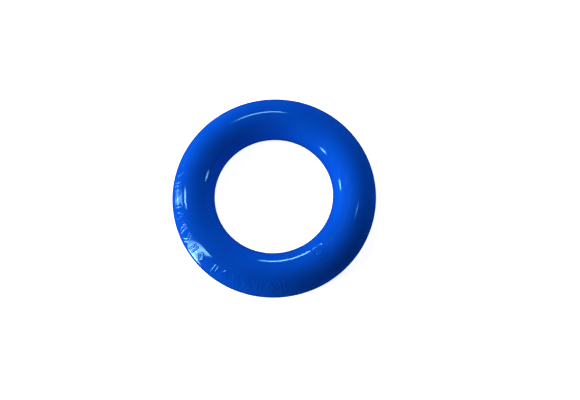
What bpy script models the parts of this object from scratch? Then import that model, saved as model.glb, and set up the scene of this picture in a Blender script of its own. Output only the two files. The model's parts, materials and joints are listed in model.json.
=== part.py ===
"""Flying ring: a hollow, air-filled vinyl throwing ring.

Two moulded half shells meet at the ring's mid height, where a tongue on the lower half sits in
a groove of the upper half and a bead of cement fills the groove above it. A push-in plug closes
the air hole on top, held by a soft bush that is bonded under the hole.

The ring lies flat: +Z is its axis, and the origin is the centre of the face that it rests on.
Units are metres.
"""

import math

import bpy
from mathutils import Matrix, Vector

# Driving dimensions of the ring
RING_RADIUS = 0.0673            # ring axis to the centre of the tube
TUBE_RADIUS = 0.0177            # outside of the tube
WALL = 0.0032                   # thickness of the vinyl
REST_LAND_WIDTH = 0.003         # flat band that the ring rests on
BORE_RADIUS = TUBE_RADIUS - WALL
TUBE_CENTRE_Z = math.sqrt(TUBE_RADIUS ** 2 - (REST_LAND_WIDTH / 2) ** 2)

# Facets
RING_STEPS = 64                 # round the ring
OUTER_ARC_STEPS = 12            # over half of the tube's outside
INNER_ARC_STEPS = 10            # over half of the tube's inside
PLUG_STEPS = 24                 # round the plug and its hole

# Seam between the halves
GAP = 0.0003                    # between pieces that touch
SEAM_CENTRE = 0.0159            # tube centre to the middle of the tongue
TONGUE_WIDTH = 0.0010
TONGUE_HEIGHT = 0.0016
GROOVE_WIDTH = 0.0017
GROOVE_DEPTH = 0.0030

# Air hole, its plug and its seat
VALVE_AROUND = math.radians(-65.0)      # round the ring, from +X
VALVE_UP = math.radians(106.0)          # round the tube, from its outermost line over the top
HEAD_RADIUS = 0.0035
HEAD_THICKNESS = 0.0009
HEAD_CROWN = 0.00045                    # height of the head's dome
STEM_RADIUS = 0.0022
STEM_LENGTH = 0.0092                    # below the head
STEM_NOSE = 0.0010                      # chamfer at the stem's tip
STEM_CLEARANCE = 0.00015                # all round the stem, in its hole and seat
SEAT_FLANGE_RADIUS = 0.0060
SEAT_NECK_RADIUS = 0.0042
SEAT_FLANGE_DEPTH = 0.0032              # from the bore's crown to the flange's lower face
SEAT_LENGTH = 0.0058                    # from the bore's crown to the end of the neck

MERGE_DISTANCE = 0.00001

BLUE = (0.004, 0.075, 0.54)
DEEP_BLUE = (0.004, 0.066, 0.48)
CEMENT = (0.55, 0.62, 0.72)


def clear_scene():
    for item in list(bpy.data.objects):
        bpy.data.objects.remove(item, do_unlink=True)


def new_collection(name):
    collection = bpy.data.collections.new(name)
    bpy.context.scene.collection.children.link(collection)
    return collection


def plastic(name, colour, roughness):
    material = bpy.data.materials.new(name)
    material.use_nodes = True
    shader = material.node_tree.nodes["Principled BSDF"]
    shader.inputs["Base Color"].default_value = (*colour, 1.0)
    shader.inputs["Roughness"].default_value = roughness
    shader.inputs["Metallic"].default_value = 0.0
    return material


def arc(radius, start, end, steps):
    """Points (x, z) on a circle round the tube's centre, from one angle to another."""
    points = []
    for step in range(steps + 1):
        angle = start + (end - start) * step / steps
        points.append((RING_RADIUS + radius * math.cos(angle), radius * math.sin(angle)))
    return points


def turned(name, profile, collection, material=None, steps=RING_STEPS, closed=False):
    """Spin a profile of (x, z) points, running down its outer side, round the local Z axis."""
    mesh = bpy.data.meshes.new(name)
    edges = [(i, i + 1) for i in range(len(profile) - 1)]
    if closed:
        edges.append((len(profile) - 1, 0))
    mesh.from_pydata([(x, 0.0, z) for x, z in profile], edges, [])
    item = bpy.data.objects.new(name, mesh)
    collection.objects.link(item)
    screw = item.modifiers.new("Spin", "SCREW")
    screw.axis = "Z"
    screw.angle = 2 * math.pi
    screw.steps = steps
    screw.render_steps = steps
    screw.use_merge_vertices = True
    screw.merge_threshold = MERGE_DISTANCE
    screw.use_smooth_shade = True
    if material:
        mesh.materials.append(material)
    return item


def boolean(item, cutter, operation):
    modifier = item.modifiers.new(operation.title(), "BOOLEAN")
    modifier.operation = operation
    modifier.object = cutter
    modifier.solver = "EXACT"


def as_cutter(item):
    item.hide_render = True
    item.display_type = "WIRE"
    return item


def seam_step(side, half_width, height, base):
    """A tongue or groove outline: up one flank, across and down the other, outer flank first."""
    middle = RING_RADIUS + side * SEAM_CENTRE
    outer = middle + half_width
    inner = middle - half_width
    return [(outer, base), (outer, height), (inner, height), (inner, base)]


def upper_profile():
    """Half shell above the seam, listed down its outer side and back under its bore."""
    rim = GAP / 2
    outer_start = math.asin(rim / TUBE_RADIUS)
    inner_start = math.asin(rim / BORE_RADIUS)
    outside = arc(TUBE_RADIUS, math.pi - outer_start, outer_start, OUTER_ARC_STEPS)
    inside = arc(BORE_RADIUS, inner_start, math.pi - inner_start, INNER_ARC_STEPS)
    groove_out = seam_step(+1, GROOVE_WIDTH / 2, GROOVE_DEPTH, rim)
    groove_in = seam_step(-1, GROOVE_WIDTH / 2, GROOVE_DEPTH, rim)
    return outside + groove_out + inside + groove_in


def lower_profile():
    """Half shell below the seam, with the flat land that the ring rests on."""
    rim = -GAP / 2
    outer_start = math.asin(rim / TUBE_RADIUS)
    inner_start = math.asin(rim / BORE_RADIUS)
    land_edge = math.acos(REST_LAND_WIDTH / 2 / TUBE_RADIUS)
    half_steps = OUTER_ARC_STEPS // 2
    outer_quarter = arc(TUBE_RADIUS, outer_start, -land_edge, half_steps)
    inner_quarter = arc(TUBE_RADIUS, land_edge - math.pi, -math.pi - outer_start, half_steps)
    inside = arc(BORE_RADIUS, -math.pi - inner_start, inner_start, INNER_ARC_STEPS)
    tongue_in = seam_step(-1, TONGUE_WIDTH / 2, TONGUE_HEIGHT, rim)
    tongue_out = seam_step(+1, TONGUE_WIDTH / 2, TONGUE_HEIGHT, rim)
    return outer_quarter + inner_quarter + tongue_in[::-1] + inside + tongue_out[::-1]


def bead_profile(side):
    """Cement in the groove, between the tongue's top and the groove's floor."""
    middle = RING_RADIUS + side * SEAM_CENTRE
    half_width = GROOVE_WIDTH / 2 - GAP
    top = GROOVE_DEPTH - GAP
    bottom = TONGUE_HEIGHT + GAP
    return [
        (middle + half_width, top),
        (middle + half_width, bottom),
        (middle - half_width, bottom),
        (middle - half_width, top),
    ]


def valve_matrix():
    """Frame with its origin in the tube's centre and +Z out through the air hole."""
    outward = Vector((math.cos(VALVE_AROUND), math.sin(VALVE_AROUND), 0.0))
    along = Vector((-math.sin(VALVE_AROUND), math.cos(VALVE_AROUND), 0.0))
    normal = outward * math.cos(VALVE_UP) + Vector((0.0, 0.0, math.sin(VALVE_UP)))
    side = normal.cross(along)
    centre = outward * RING_RADIUS + Vector((0.0, 0.0, TUBE_CENTRE_Z))
    rotation = Matrix((along, side, normal)).transposed()
    return Matrix.Translation(centre) @ rotation.to_4x4()


def hole_cutter(collection):
    """Stepped hole: a recess for the plug's head and a straight hole for its stem."""
    hole = STEM_RADIUS + STEM_CLEARANCE
    recess = HEAD_RADIUS + GAP
    floor = TUBE_RADIUS - HEAD_CROWN - HEAD_THICKNESS - GAP
    profile = [
        (0.0, TUBE_RADIUS + WALL),
        (recess, TUBE_RADIUS + WALL),
        (recess, floor),
        (hole, floor),
        (hole, BORE_RADIUS - WALL),
        (0.0, BORE_RADIUS - WALL),
    ]
    return as_cutter(turned("hole_cutter", profile, collection, steps=PLUG_STEPS))


def bore_cutter(collection):
    """Solid that fills the ring's bore, less the cement gap, to trim the seat against."""
    profile = arc(BORE_RADIUS - GAP, math.pi, -math.pi, 2 * OUTER_ARC_STEPS)[:-1]
    item = turned("bore_cutter", profile, collection, closed=True)
    item.location.z = TUBE_CENTRE_Z
    return as_cutter(item)


def seat_hole_cutter(collection):
    hole = STEM_RADIUS + STEM_CLEARANCE
    profile = [
        (0.0, TUBE_RADIUS),
        (hole, TUBE_RADIUS),
        (hole, 0.0),
        (0.0, 0.0),
    ]
    return as_cutter(turned("seat_hole_cutter", profile, collection, steps=PLUG_STEPS))


def make_upper_shell(collection, cutter, material):
    item = turned("upper_shell", upper_profile(), collection, material, closed=True)
    item.location.z = TUBE_CENTRE_Z
    boolean(item, cutter, "DIFFERENCE")


def make_lower_shell(collection, material):
    item = turned("lower_shell", lower_profile(), collection, material, closed=True)
    item.location.z = TUBE_CENTRE_Z


def make_cement_beads(collection, material):
    for name, side in (("outer_cement_bead", +1), ("inner_cement_bead", -1)):
        item = turned(name, bead_profile(side), collection, material, closed=True)
        item.location.z = TUBE_CENTRE_Z


def make_valve_seat(collection, frame, bore, hole, material):
    """Bush under the air hole: a flange that follows the bore, and a neck that grips the stem."""
    flange_bottom = BORE_RADIUS - SEAT_FLANGE_DEPTH
    neck_bottom = BORE_RADIUS - SEAT_LENGTH
    profile = [
        (0.0, BORE_RADIUS + WALL / 2),
        (SEAT_FLANGE_RADIUS, BORE_RADIUS + WALL / 2),
        (SEAT_FLANGE_RADIUS, flange_bottom),
        (SEAT_NECK_RADIUS, flange_bottom),
        (SEAT_NECK_RADIUS, neck_bottom),
        (0.0, neck_bottom),
    ]
    item = turned("valve_seat", profile, collection, material, steps=PLUG_STEPS)
    item.parent = frame
    boolean(item, bore, "INTERSECT")
    boolean(item, hole, "DIFFERENCE")


def make_air_plug(collection, frame, material):
    """Stopper with a low domed head that lies level with the shell, and a chamfered stem."""
    head_top = TUBE_RADIUS
    rim_top = head_top - HEAD_CROWN
    head_bottom = rim_top - HEAD_THICKNESS
    stem_bottom = head_bottom - STEM_LENGTH
    profile = [
        (0.0, head_top),
        (HEAD_RADIUS * 0.5, head_top - HEAD_CROWN * 0.25),
        (HEAD_RADIUS, rim_top),
        (HEAD_RADIUS, head_bottom),
        (STEM_RADIUS, head_bottom),
        (STEM_RADIUS, stem_bottom + STEM_NOSE),
        (STEM_RADIUS - STEM_NOSE / 2, stem_bottom),
        (0.0, stem_bottom),
    ]
    item = turned("air_plug", profile, collection, material, steps=PLUG_STEPS)
    item.parent = frame


def valve_frame(collection):
    frame = bpy.data.objects.new("valve_frame", None)
    frame.empty_display_size = TUBE_RADIUS
    frame.matrix_world = valve_matrix()
    collection.objects.link(frame)
    return frame


def main():
    clear_scene()
    ring = new_collection("flying_ring")
    cutters = new_collection("cutters")
    vinyl = plastic("blue_vinyl", BLUE, 0.12)
    soft_vinyl = plastic("soft_vinyl", DEEP_BLUE, 0.2)
    cement = plastic("cement", CEMENT, 0.4)
    frame = valve_frame(ring)
    hole = hole_cutter(cutters)
    seat_hole = seat_hole_cutter(cutters)
    for cutter in (hole, seat_hole):
        cutter.parent = frame
    make_upper_shell(ring, hole, vinyl)
    make_lower_shell(ring, vinyl)
    make_cement_beads(ring, cement)
    make_valve_seat(ring, frame, bore_cutter(cutters), seat_hole, soft_vinyl)
    make_air_plug(ring, frame, soft_vinyl)


main()
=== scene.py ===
"""Looks of the flying ring: a glossy blue vinyl tube with raised marks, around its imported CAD."""

import json
import math

import bpy
import numpy as np
from mathutils import Matrix, Vector


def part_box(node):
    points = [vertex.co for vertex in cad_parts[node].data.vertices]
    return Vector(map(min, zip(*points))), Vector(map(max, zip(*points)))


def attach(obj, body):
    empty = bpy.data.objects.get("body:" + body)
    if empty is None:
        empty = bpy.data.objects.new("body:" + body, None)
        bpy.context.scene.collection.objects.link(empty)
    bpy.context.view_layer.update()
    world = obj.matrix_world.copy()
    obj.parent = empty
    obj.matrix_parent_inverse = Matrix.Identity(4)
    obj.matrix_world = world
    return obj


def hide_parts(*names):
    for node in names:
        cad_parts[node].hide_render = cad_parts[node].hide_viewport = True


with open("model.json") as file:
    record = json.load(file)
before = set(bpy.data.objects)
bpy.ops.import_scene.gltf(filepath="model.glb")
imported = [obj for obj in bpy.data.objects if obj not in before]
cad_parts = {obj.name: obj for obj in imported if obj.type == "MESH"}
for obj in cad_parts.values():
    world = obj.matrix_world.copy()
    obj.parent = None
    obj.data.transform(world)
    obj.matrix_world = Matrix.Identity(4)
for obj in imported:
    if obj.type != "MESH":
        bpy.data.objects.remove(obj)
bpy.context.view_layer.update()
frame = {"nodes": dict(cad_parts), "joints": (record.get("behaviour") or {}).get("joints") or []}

MM = 0.001
GAP = 0.3 * MM                  # the CAD's gap between touching pieces
SEAM_GAP = 0.04 * MM            # half of the visible gap between the halves

# Ring: its size is read from the frame, and its wall and resting land are the CAD's
upper_low, upper_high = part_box("upper_shell")
CENTRE_Z = upper_low.z - GAP / 2
TUBE = upper_high.z - CENTRE_Z
RING = upper_high.x - TUBE
WALL = 3.2 * MM
BORE = TUBE - WALL
REST_HALF_WIDTH = 1.5 * MM

# Seam: a tongue on the lower half in a groove of the upper half
SEAM_CENTRE = 15.9 * MM
TONGUE_WIDTH = 1.0 * MM
TONGUE_HEIGHT = 1.6 * MM
GROOVE_WIDTH = 1.7 * MM
GROOVE_DEPTH = 3.0 * MM
PARTING_DEPTH = 0.16 * MM       # rounded edges where the halves meet
PARTING_WIDTH = 0.5 * MM

# Air plug
PLUG_AXIS = Vector(frame["joints"][0]["axis"]).normalized()
PLUG_AROUND = math.atan2(-PLUG_AXIS.y, -PLUG_AXIS.x)
PLUG_UP = math.pi - math.asin(PLUG_AXIS.z)
HEAD_RADIUS = 3.5 * MM
HEAD_CROWN = 0.12 * MM
HEAD_DEPTH = 1.35 * MM          # from the shell's surface down to the head's underside
RIM_RADIUS = 0.3 * MM
RIM_DROP = 0.32 * MM            # from the pad's top down to the middle of the rim's rounding
STEM_RADIUS = 2.2 * MM
STEM_LENGTH = 9.2 * MM
STEM_FILLET = 0.2 * MM
TIP_RADIUS = 0.8 * MM
GRIP_RISE = 0.1 * MM            # a bead round the stem, from 1.4 to 2.6 mm above its tip
GRIP_BEAD = ((2.6 * MM, 0.0), (2.2 * MM, GRIP_RISE), (1.8 * MM, GRIP_RISE), (1.4 * MM, 0.0))
RECESS_GAP = 0.14 * MM
RECESS_DEPTH = 1.65 * MM
RECESS_LIP = 0.25 * MM
STEM_CLEARANCE = 0.15 * MM
CUTTER_EXCESS = 2.0 * MM        # how far the cutter reaches past the wall on both sides
TURNED_SEGMENTS = 64
PAD_RADIUS = 7.0 * MM
PAD_HEIGHT = 0.16 * MM
PAD_EDGE = 1.2 * MM

# Raised marks, a generic pattern
MARK_UP = math.radians(50)      # middle of the band, round the tube
MARK_HEIGHT = 9.8 * MM          # along the tube's section
MARK_PITCH = math.radians(6.9)
MARK_WIDTH = 6.6 * MM
STROKE = 0.9 * MM
STROKE_EDGE = 0.36 * MM
RELIEF = 0.14 * MM
MARK_GROUPS = ((151, 10), (224, 7), (20, 5))    # first mark's place in degrees, and how many

# Faint line and two small pips left by the mould beside the plug
FLASH_AROUND = math.radians(-63.6)
FLASH_FROM = 44                 # where it starts and ends round the tube, in degrees
FLASH_TO = 96
FLASH_FADE_IN = 10              # how far it takes to fade in and out, in degrees
FLASH_FADE_OUT = 6
FLASH_HEIGHT = 0.05 * MM
FLASH_WIDTH = 0.7 * MM
PIP_PLACES = ((math.radians(-92.6), math.radians(65)), (math.radians(-57.5), math.radians(38)))
PIP_RADIUS = 0.8 * MM
PIP_FLAT = 0.2                  # share of the radius that is at full height
PIP_HEIGHT = 0.3 * MM

# Mesh spacing round the ring, in degrees
COLUMN_STEP = 1.1
MARK_STEP = 0.25
MARK_MARGIN = 3
PLUG_STEP = 0.4
PLUG_MARGIN = 9
LOWER_STEP = 1.0
SHARP_ANGLE = math.radians(40)


def torus_point(around, up, radius):
    """Points on a tube of that radius, as an array of (x, y, z)."""
    out = RING + radius * np.cos(up)
    x = out * np.cos(around)
    y = out * np.sin(around)
    z = CENTRE_Z + radius * np.sin(up)
    return np.stack(np.broadcast_arrays(x, y, z), axis=-1)


def smoothstep(value):
    """A smooth rise from 0 to 1 as the value goes from 0 to 1."""
    t = np.clip(value, 0.0, 1.0)
    return t * t * (3 - 2 * t)


def wrapped(angle):
    """The same angle from -pi to pi."""
    return (angle + math.pi) % (2 * math.pi) - math.pi


# ---------------------------------------------------------------- relief on the upper half

def stroke_distance(across, along, start, end):
    """Distance of each point from a straight stroke between two points."""
    direction = np.array(end) - np.array(start)
    length = float(direction @ direction)
    share = ((across - start[0]) * direction[0] + (along - start[1]) * direction[1]) / length
    share = np.clip(share, 0.0, 1.0)
    return np.hypot(across - start[0] - share * direction[0], along - start[1] - share * direction[1])


def mark_strokes(kind):
    """Strokes of one mark, as start and end points (across, along) about the mark's middle."""
    half_w = (MARK_WIDTH - STROKE) / 2
    half_h = (MARK_HEIGHT - STROKE) / 2
    if kind == "bars":
        lean = half_w * 0.5
        return [((side - lean, -half_h), (side, half_h)) for side in (0.0, half_w)]
    if kind == "bars_back":
        lean = half_w * 0.5
        return [((side - lean, half_h), (side, -half_h)) for side in (0.0, half_w)]
    if kind == "diamond":
        corners = [(0.0, half_h), (half_w, 0.0), (0.0, -half_h), (-half_w, 0.0)]
        return [(corners[i], corners[(i + 1) % 4]) for i in range(4)]
    strokes = []
    for shift in (-half_w * 0.5, half_w * 0.5):
        tip = (shift + half_w * 0.5, 0.0)
        strokes += [((shift - half_w * 0.5, half_h), tip), (tip, (shift - half_w * 0.5, -half_h))]
    return strokes


def marks_height(around, up):
    """Height of the raised marks: double chevrons and diamonds between pairs of slanted bars."""
    height = np.zeros(np.broadcast(around, up).shape)
    band_radius = RING + TUBE * math.cos(MARK_UP)
    along = (up - MARK_UP) * TUBE
    kinds = ("bars", "diamond", "bars_back", "chevrons")
    for first, count in MARK_GROUPS:
        for number in range(count):
            middle = math.radians(first) + number * MARK_PITCH
            across = wrapped(around - middle) * band_radius
            near = np.abs(across) < MARK_WIDTH
            near = near & (np.abs(along) < MARK_HEIGHT)
            if not near.any():
                continue
            a = np.broadcast_to(across, height.shape)[near]
            b = np.broadcast_to(along, height.shape)[near]
            nearest = np.full(a.shape, np.inf)
            for start, end in mark_strokes(kinds[number % len(kinds)]):
                nearest = np.minimum(nearest, stroke_distance(a, b, start, end))
            rise = RELIEF * smoothstep((STROKE / 2 + STROKE_EDGE - nearest) / STROKE_EDGE)
            height[near] = np.maximum(height[near], rise)
    return height


def plug_distance(around, up):
    """Distance from the plug's axis, along the surface."""
    local = RING + TUBE * math.cos(PLUG_UP)
    return np.hypot(wrapped(around - PLUG_AROUND) * local, (up - PLUG_UP) * TUBE)


def flash_height(around, up):
    """Faint line down the outer shoulder from the plug."""
    across = np.abs(wrapped(around - FLASH_AROUND)) * (RING + TUBE * np.cos(up))
    degrees = np.degrees(up)
    fade_in = smoothstep((degrees - FLASH_FROM) / FLASH_FADE_IN)
    fade_out = smoothstep((FLASH_TO - degrees) / FLASH_FADE_OUT)
    return FLASH_HEIGHT * fade_in * fade_out * smoothstep(1 - across / FLASH_WIDTH)


def pip_height(around, up):
    """Two small moulded pips on the outer shoulder."""
    height = 0.0
    for pip_around, pip_up in PIP_PLACES:
        local = RING + TUBE * math.cos(pip_up)
        distance = np.hypot(wrapped(around - pip_around) * local, (up - pip_up) * TUBE)
        height = height + PIP_HEIGHT * smoothstep(1 + PIP_FLAT - distance / PIP_RADIUS)
    return height


def parting_dip(up):
    """Rounded edge beside the seam."""
    from_seam = np.abs(np.sin(up)) * TUBE
    return PARTING_DEPTH * (1 - np.clip(from_seam / PARTING_WIDTH, 0, 1)) ** 2


def upper_relief(around, up):
    """Height of everything moulded on the upper half, above the plain tube."""
    pad = PAD_HEIGHT * smoothstep((PAD_RADIUS - plug_distance(around, up)) / PAD_EDGE)
    details = flash_height(around, up) + pip_height(around, up) - parting_dip(up)
    return marks_height(around, up) + pad + details


# ---------------------------------------------------------------- meshes

def graded(breaks):
    """Angles in radians from a list of (start, end, step) in degrees, each stretch evenly split."""
    angles = []
    for start, end, step in breaks:
        count = max(1, round(abs(end - start) / step))
        angles.extend(start + (end - start) * i / count for i in range(count))
    return np.radians(np.array(angles))


def fine_columns():
    """Angles round the ring, close together under the marks and the plug."""
    plug = math.degrees(PLUG_AROUND) % 360
    busy = [(plug - PLUG_MARGIN, plug + PLUG_MARGIN, PLUG_STEP)]
    pitch = math.degrees(MARK_PITCH)
    for first, count in MARK_GROUPS:
        last = first + pitch * (count - 1)
        busy.append((first - MARK_MARGIN, last + MARK_MARGIN, MARK_STEP))
    busy.sort()
    breaks = []
    here = busy[0][0]
    for start, end, step in busy:
        if start > here:
            breaks.append((here, start, COLUMN_STEP))
        breaks.append((start, end, step))
        here = end
    breaks.append((here, busy[0][0] + 360, COLUMN_STEP))
    return graded(breaks)


def closed_grid(name, points):
    """A mesh from a grid of points that wraps round both ways."""
    rows, columns = points.shape[:2]
    index = np.arange(rows * columns).reshape(rows, columns)
    right = np.roll(index, -1, axis=1)
    down = np.roll(index, -1, axis=0)
    corner = np.roll(right, -1, axis=0)
    faces = np.stack([index, right, corner, down], axis=-1).reshape(-1, 4)
    mesh = bpy.data.meshes.new(name)
    mesh.vertices.add(rows * columns)
    mesh.vertices.foreach_set("co", points.reshape(-1).astype(np.float32))
    mesh.loops.add(faces.size)
    mesh.loops.foreach_set("vertex_index", faces.reshape(-1).astype(np.int32))
    mesh.polygons.add(len(faces))
    mesh.polygons.foreach_set("loop_start", np.arange(0, faces.size, 4, dtype=np.int32))
    mesh.update(calc_edges=True)
    mesh.validate()
    return new_object(name, mesh)


def new_object(name, mesh):
    """A new object with that mesh, in the scene."""
    item = bpy.data.objects.new(name, mesh)
    bpy.context.scene.collection.objects.link(item)
    return item


def section_rows(columns, outline):
    """Rows of points for straight parts of the section, given as (x, z) about the tube's centre."""
    rows = []
    for x, z in outline:
        out = RING + x
        height = np.full_like(columns, CENTRE_Z + z)
        rows.append(np.stack([out * np.cos(columns), out * np.sin(columns), height], -1))
    return rows


def seam_step(side, half_width, height, base):
    """Square step of a tongue or groove; side is +1 for the outer seam and -1 for the inner one."""
    middle = side * SEAM_CENTRE
    return [
        (middle + half_width, base),
        (middle + half_width, height),
        (middle - half_width, height),
        (middle - half_width, base),
    ]


def bore_arc(start, end, steps):
    """Points along the hollow's round wall."""
    angles = [start + (end - start) * i / steps for i in range(steps + 1)]
    return [(BORE * math.cos(angle), BORE * math.sin(angle)) for angle in angles]


def make_upper(material):
    """Upper half: moulded outside, hollow inside, and a groove in both edges."""
    columns = fine_columns()
    edge = math.degrees(math.asin(SEAM_GAP / TUBE))
    up = graded([
        (180 - edge, 178, 0.3),
        (178, 134, 3),
        (134, 70, 2),
        (70, 30, 0.75),
        (30, 2, 3),
        (2, edge, 0.3),
        (edge, edge, 1),
    ])[:, None]
    around = columns[None, :]
    outside = torus_point(around, up, TUBE + upper_relief(around, up))
    groove_out = seam_step(+1, GROOVE_WIDTH / 2, GROOVE_DEPTH, SEAM_GAP)
    groove_in = seam_step(-1, GROOVE_WIDTH / 2, GROOVE_DEPTH, SEAM_GAP)
    start = math.asin(SEAM_GAP / BORE)
    inside = section_rows(columns, groove_out + bore_arc(start, math.pi - start, 14) + groove_in)
    item = closed_grid("ring_upper_half", np.concatenate([outside, np.stack(inside)]))
    cut_plug_hole(item)
    finish_piece(item, material, "ring", "upper_shell")
    return item


def make_lower(material):
    """Lower half: plain outside with a flat land to rest on, and a tongue on both edges."""
    columns = graded([(0, 360, LOWER_STEP)])
    edge = math.degrees(math.asin(SEAM_GAP / TUBE))
    land = math.degrees(math.acos(REST_HALF_WIDTH / TUBE))
    up = graded([
        (-edge, -2, 0.3),
        (-2, -land, 2.4),
        (-land, land - 180, 3),
        (land - 180, -178, 2.4),
        (-178, edge - 180, 0.3),
        (edge - 180, edge - 180, 1),
    ])[:, None]
    around = columns[None, :]
    outside = torus_point(around, up, TUBE - parting_dip(up))
    outside[..., 2] = np.maximum(outside[..., 2], 0.0)
    tongue_in = seam_step(-1, TONGUE_WIDTH / 2, TONGUE_HEIGHT, -SEAM_GAP)[::-1]
    tongue_out = seam_step(+1, TONGUE_WIDTH / 2, TONGUE_HEIGHT, -SEAM_GAP)[::-1]
    start = math.asin(SEAM_GAP / BORE)
    inside = section_rows(columns, tongue_in + bore_arc(-math.pi + start, -start, 18) + tongue_out)
    item = closed_grid("ring_lower_half", np.concatenate([outside, np.stack(inside)]))
    finish_piece(item, material, "ring", "lower_shell")
    return item


def plug_matrix():
    """Origin in the tube's centre under the plug, +Z out along its axis, +X round the ring."""
    outward = Vector((math.cos(PLUG_AROUND), math.sin(PLUG_AROUND), 0))
    along = Vector((-outward.y, outward.x, 0))
    centre = outward * RING + Vector((0, 0, CENTRE_Z))
    rotation = Matrix((along, PLUG_AXIS.cross(along), PLUG_AXIS)).transposed()
    return Matrix.Translation(centre) @ rotation.to_4x4()


def turned(name, profile):
    """Closed turned shape from (radius, height) points that start and end on the axis."""
    mesh = bpy.data.meshes.new(name)
    segments = TURNED_SEGMENTS
    angles = [2 * math.pi * i / segments for i in range(segments)]
    rings = profile[1:-1]
    points = [(0, 0, profile[0][1])]
    for radius, height in rings:
        points += [(radius * math.cos(a), radius * math.sin(a), height) for a in angles]
    points.append((0, 0, profile[-1][1]))
    faces = []
    last = len(points) - 1
    for i in range(segments):
        j = (i + 1) % segments
        faces.append((0, 1 + i, 1 + j))
        for ring in range(len(rings) - 1):
            a = 1 + ring * segments
            b = a + segments
            faces.append((a + i, b + i, b + j, a + j))
        end = 1 + (len(rings) - 1) * segments
        faces.append((end + i, last, end + j))
    mesh.from_pydata(points, [], faces)
    mesh.validate()
    return new_object(name, mesh)


def corner(radius, height, size, start, steps=5):
    """Points of a rounded corner about a centre, a quarter turn clockwise from a start angle."""
    turns = [start - math.pi / 2 * i / steps for i in range(steps + 1)]
    return [(radius + size * math.cos(turn), height + size * math.sin(turn)) for turn in turns]


def cut_plug_hole(item):
    """Recess for the plug's head and a hole for its stem, with a rounded lip."""
    recess = HEAD_RADIUS + RECESS_GAP
    mouth = recess + RECESS_LIP
    hole = STEM_RADIUS + STEM_CLEARANCE
    surface_height = TUBE + PAD_HEIGHT
    above = surface_height + CUTTER_EXCESS
    floor = TUBE - RECESS_DEPTH
    below = BORE - CUTTER_EXCESS
    profile = [(0, above), (mouth, above)]
    for i in range(6):
        turn = math.pi / 2 * i / 5
        height = surface_height - RECESS_LIP * (1 - math.cos(turn))
        profile.append((mouth - RECESS_LIP * math.sin(turn), height))
    profile += [(recess, floor), (hole, floor), (hole, below), (0, below)]
    cutter = turned("plug_hole_cutter", profile)
    cutter.matrix_world = plug_matrix()
    modifier = item.modifiers.new("Hole", "BOOLEAN")
    modifier.object = cutter
    modifier.operation = "DIFFERENCE"
    modifier.solver = "EXACT"
    bpy.context.view_layer.update()
    evaluated = item.evaluated_get(bpy.context.evaluated_depsgraph_get())
    mesh = bpy.data.meshes.new_from_object(evaluated)
    item.modifiers.clear()
    item.data = mesh
    bpy.data.objects.remove(cutter)


def make_plug(material):
    """Stopper whose head follows the shell, with a rounded rim and a stem with a gripping bead."""
    under = TUBE - HEAD_DEPTH
    tip = under - STEM_LENGTH
    rim = TUBE + PAD_HEIGHT - RIM_DROP
    flat = HEAD_RADIUS - RIM_RADIUS
    profile = []
    for i in range(9):
        share = i / 8
        profile.append((flat * share, rim + RIM_RADIUS + HEAD_CROWN * (1 - share ** 2)))
    profile += corner(flat, rim, RIM_RADIUS, math.pi / 2)[1:]
    profile.append((HEAD_RADIUS, under))
    profile += [(STEM_RADIUS + STEM_FILLET, under), (STEM_RADIUS, under - STEM_FILLET)]
    profile += [(STEM_RADIUS + rise, tip + height) for height, rise in GRIP_BEAD]
    profile += corner(STEM_RADIUS - TIP_RADIUS, tip + TIP_RADIUS, TIP_RADIUS, 0.0)
    profile.append((0, tip))
    item = turned("air_plug_stopper", profile)
    item.matrix_world = plug_matrix()
    finish_piece(item, material, "plug", "air_plug")
    return item


def finish_piece(item, material, body, node):
    """Gives a refined piece its material and smooth shading, and puts it in place of a CAD node."""
    item.data.materials.clear()
    item.data.materials.append(material)
    item.data.shade_smooth()
    item.data.set_sharp_from_angle(angle=SHARP_ANGLE)
    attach(item, body)
    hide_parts(node)


# ---------------------------------------------------------------- materials

# Each material's two colours, its lowest and highest roughness, and its grain's scale and depth.
SURFACES = {
    "blue_vinyl": ((0.001, 0.052, 0.40), (0.001, 0.047, 0.375), 0.045, 0.1, 600, 0.004 * MM),
    "plug_vinyl": ((0.001, 0.056, 0.40), (0.001, 0.05, 0.37), 0.06, 0.14, 900, 0.008 * MM),
    "seam_cement": ((0.42, 0.52, 0.66), (0.36, 0.46, 0.6), 0.3, 0.5, 900, 0.06 * MM),
    "light_table": ((0.9, 0.9, 0.9), (0.89, 0.89, 0.89), 0.85, 0.95, 900, 0.05 * MM),
}
# The noise that mixes the colours and the one that varies the gloss: scale, detail and used range.
MOTTLE_SCALE = 45
MOTTLE_DETAIL = 3
MOTTLE_RANGE = (0.35, 0.65)
WEAR_SCALE = 130
WEAR_DETAIL = 6
WEAR_RANGE = (0.45, 0.8)
WEAR_STRETCH = (1, 1, 0.3)
GRAIN_DETAIL = 4


def noise(material, scale, detail, stretch=(1, 1, 1)):
    """A noise texture's output, fixed to the object."""
    nodes = material.node_tree.nodes
    place = nodes.new("ShaderNodeTexCoord")
    mapping = nodes.new("ShaderNodeMapping")
    mapping.inputs["Scale"].default_value = stretch
    texture = nodes.new("ShaderNodeTexNoise")
    texture.inputs["Scale"].default_value = scale
    texture.inputs["Detail"].default_value = detail
    material.node_tree.links.new(place.outputs["Object"], mapping.inputs["Vector"])
    material.node_tree.links.new(mapping.outputs["Vector"], texture.inputs["Vector"])
    return texture.outputs["Fac"]


def ranged(material, value, used, wanted):
    """The used part of a value's range, spread over the wanted range."""
    node = material.node_tree.nodes.new("ShaderNodeMapRange")
    for socket, number in zip(("From Min", "From Max", "To Min", "To Max"), (*used, *wanted)):
        node.inputs[socket].default_value = number
    material.node_tree.links.new(value, node.inputs["Value"])
    return node.outputs["Result"]


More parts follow.
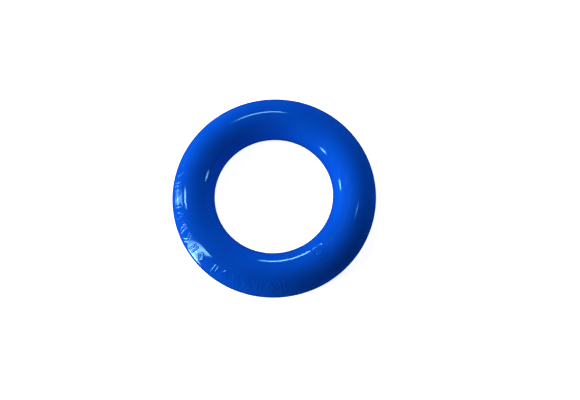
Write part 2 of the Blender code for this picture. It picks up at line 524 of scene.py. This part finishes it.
def surface(name):
    """A material whose colour, gloss and fine grain vary over the object."""
    colour, other_colour, smooth, rough, grain, grain_depth = SURFACES[name]
    material = bpy.data.materials.new(name)
    material.use_nodes = True
    nodes = material.node_tree.nodes
    links = material.node_tree.links
    shader = nodes["Principled BSDF"]
    tint = nodes.new("ShaderNodeMix")
    tint.data_type = "RGBA"
    tint.inputs["A"].default_value = (*colour, 1)
    tint.inputs["B"].default_value = (*other_colour, 1)
    mottle = noise(material, MOTTLE_SCALE, MOTTLE_DETAIL)
    links.new(ranged(material, mottle, MOTTLE_RANGE, (0, 1)), tint.inputs["Factor"])
    links.new(tint.outputs["Result"], shader.inputs["Base Color"])
    wear = noise(material, WEAR_SCALE, WEAR_DETAIL, WEAR_STRETCH)
    links.new(ranged(material, wear, WEAR_RANGE, (smooth, rough)), shader.inputs["Roughness"])
    bump = nodes.new("ShaderNodeBump")
    bump.inputs["Strength"].default_value = 1.0
    bump.inputs["Distance"].default_value = grain_depth
    links.new(noise(material, grain, GRAIN_DETAIL), bump.inputs["Height"])
    links.new(bump.outputs["Normal"], shader.inputs["Normal"])
    return material


# ---------------------------------------------------------------- stage

CAMERA_TILT = math.radians(15.46)        # away from straight above
CAMERA_ROLL = math.radians(10.73)
CAMERA_DISTANCE = 6.157 * RING
LENS = 30.71
SHIFT_X = 0.0287
SHIFT_Y = -0.0099


def make_camera():
    """Camera nearly above the ring, tilted towards its near side and slightly rolled."""
    data = bpy.data.cameras.new("camera")
    data.lens = LENS
    data.sensor_width = 36
    data.shift_x = SHIFT_X
    data.shift_y = SHIFT_Y
    data.clip_start = 0.01
    camera = bpy.data.objects.new("camera", data)
    bpy.context.scene.collection.objects.link(camera)
    target = Vector((0, 0, CENTRE_Z))
    rotation = Matrix.Rotation(CAMERA_TILT, 4, "X") @ Matrix.Rotation(-CAMERA_ROLL, 4, "Z")
    offset = Vector((0, -math.sin(CAMERA_TILT), math.cos(CAMERA_TILT))) * CAMERA_DISTANCE
    camera.matrix_world = Matrix.Translation(target + offset) @ rotation
    bpy.context.scene.camera = camera


# Lamps that are only seen as reflections, each row of lamps with:
# - the first lamp's place and, in a row of several, the last one's: its azimuth and elevation from
#   the spot on the ring that it is aimed at, and the spot's angles round the ring and the tube
# - how many lamps
# - the azimuth and the elevation that each covers, and the half angle of its beam
# - its distance in metres and its brightness
# Angles are in degrees.
REFLECTED_LAMPS = {
    "back_high": (((89, 68, 90, 92),), 1, 22, 4.5, 11, 0.5, 18),
    "back_strip": (((80, 20, -106, 121), (104, 20, -67, 119)), 5, 7, 7, 7, 0.3, 19),
    "left_wide": (((-165, 7, 29, 143),), 1, 18, 7, 6, 0.5, 24),
    "left_tall": (((158, 7, -7, 140),), 1, 17, 7, 6, 0.5, 32),
    "right_low": (((-8.5, 21, 156, 132),), 1, 9.2, 9, 7, 0.3, 16),
    "right_high": (((18.5, 68.6, -26, 84),), 1, 14, 4, 12, 0.5, 6),
    "left_bar": (((149, 52.5, 173, 78.5),), 1, 13, 9, 8, 0.5, 26),
    "left_patch": (((157, 34, 173, 66), (158, -10, 173, 42)), 8, 10.6, 6.2, 7, 0.25, 9),
    "corner_patch": (((-168, 53, -151, 75), (-167, -34, -149, 26)), 15, 17.5, 6.2, 7, 0.25, 22),
}
REFLECTED_COLOUR = (0.36, 0.9, 1.2)

# Lamps that light the surfaces and aren't reflected: azimuth and elevation in degrees, brightness.
SOFT_LAMPS = {
    "left_low": (180, 12, 1.06),
    "left_high": (180, 38, 0.48),
    "back_low": (135, 12, 0.69),
    "back_high_fill": (125, 52, 0.55),
    "right_low_fill": (45, 12, 0.65),
}
SOFT_DISTANCE = 2.4
SOFT_SIZE = 1.2

# A small lamp above the hole that lights the far inner slope
INNER_LAMP_PLACE = (0.012, -0.03, 0.075)
INNER_LAMP_SPOT = (math.radians(108), math.radians(125))
INNER_LAMP_SIZE = 0.05
INNER_LAMP_BRIGHTNESS = 3.2

FLOOR_GLOW = 0.85
FLOOR_HALF_SIZE = 3.0
FLOOR_DROP = 0.2 * MM           # keeps the floor clear of the ring's resting land


def direction_to(azimuth, elevation):
    """Unit vector towards an azimuth and elevation in degrees."""
    a = math.radians(azimuth)
    e = math.radians(elevation)
    return Vector((math.cos(e) * math.cos(a), math.cos(e) * math.sin(a), math.sin(e)))


def area_lamp(name, place, target, width, height):
    """A rectangular lamp at a place, turned to its target and unseen by the camera."""
    data = bpy.data.lights.new(name, "AREA")
    data.shape = "RECTANGLE"
    data.size = width
    data.size_y = height
    lamp = bpy.data.objects.new(name, data)
    bpy.context.scene.collection.objects.link(lamp)
    turn = (target - place).to_track_quat("-Z", "Y").to_matrix().to_4x4()
    lamp.matrix_world = Matrix.Translation(place) @ turn
    lamp.visible_camera = False
    return lamp


def make_reflected_row(name, places, count, width, height, beam, distance, brightness):
    """A row of narrow-beamed lamps that gives one highlight and no second one across the ring."""
    beam = math.radians(beam)
    # share of an unnarrowed lamp's power that gives the same brightness
    beam_share = (math.tan(beam) - beam) / math.tan(beam)
    size_y = 2 * distance * math.tan(math.radians(height) / 2)
    for number in range(count):
        share = number / max(1, count - 1)
        azimuth, elevation, around, up = (a + (b - a) * share for a, b in zip(places[0], places[-1]))
        spot = Vector(torus_point(math.radians(around), math.radians(up), TUBE))
        size_x = 2 * distance * math.tan(math.radians(width) / 2) * math.cos(math.radians(elevation))
        source = spot + direction_to(azimuth, elevation) * distance
        lamp = area_lamp(f"{name}_{number}", source, spot, size_x, size_y)
        lamp.data.color = REFLECTED_COLOUR
        lamp.data.energy = brightness * math.pi * size_x * size_y * beam_share
        lamp.data.spread = 2 * beam
        lamp.visible_diffuse = False


def make_soft_lamps():
    """Lamps that light the surfaces without being reflected in them."""
    middle = Vector((0, 0, CENTRE_Z))
    for name, (azimuth, elevation, brightness) in SOFT_LAMPS.items():
        place = middle + direction_to(azimuth, elevation) * SOFT_DISTANCE
        lamp = area_lamp(name, place, middle, SOFT_SIZE, SOFT_SIZE)
        lamp.data.energy = brightness * (math.pi * SOFT_DISTANCE) ** 2
        lamp.visible_glossy = False
    spot = Vector(torus_point(*INNER_LAMP_SPOT, TUBE))
    lamp = area_lamp("inner_fill", Vector(INNER_LAMP_PLACE), spot, INNER_LAMP_SIZE, INNER_LAMP_SIZE)
    lamp.data.energy = INNER_LAMP_BRIGHTNESS * math.pi * INNER_LAMP_SIZE ** 2
    lamp.visible_glossy = False


def make_stage():
    """Pale glowing floor, like a light table, and a white world that only the camera sees."""
    mesh = bpy.data.meshes.new("floor")
    size = FLOOR_HALF_SIZE
    corners = [(-size, -size, 0), (size, -size, 0), (size, size, 0), (-size, size, 0)]
    mesh.from_pydata(corners, [], [(0, 1, 2, 3)])
    floor = new_object("floor", mesh)
    floor.location.z = -FLOOR_DROP
    paper = surface("light_table")
    shader = paper.node_tree.nodes["Principled BSDF"]
    shader.inputs["Emission Color"].default_value = (1, 1, 1, 1)
    shader.inputs["Emission Strength"].default_value = FLOOR_GLOW
    mesh.materials.append(paper)
    floor.visible_glossy = False
    floor.visible_shadow = False
    world = bpy.data.worlds.new("studio")
    world.use_nodes = True
    background = world.node_tree.nodes["Background"]
    background.inputs["Color"].default_value = (1, 1, 1, 1)
    background.inputs["Strength"].default_value = 1.0
    world.cycles_visibility.glossy = False
    world.cycles_visibility.diffuse = False
    bpy.context.scene.world = world


def dress_cad_node(node, material):
    """Gives a CAD node that keeps its mesh a material."""
    item = frame["nodes"][node]
    item.data.materials.clear()
    item.data.materials.append(material)


make_camera()
for name, row in REFLECTED_LAMPS.items():
    make_reflected_row(name, *row)
make_soft_lamps()
make_stage()
vinyl = surface("blue_vinyl")
soft_vinyl = surface("plug_vinyl")
cement = surface("seam_cement")
make_upper(vinyl)
make_lower(vinyl)
make_plug(soft_vinyl)
dress_cad_node("valve_seat", soft_vinyl)
dress_cad_node("outer_cement_bead", cement)
dress_cad_node("inner_cement_bead", cement)
bpy.context.scene.view_settings.view_transform = "Standard"
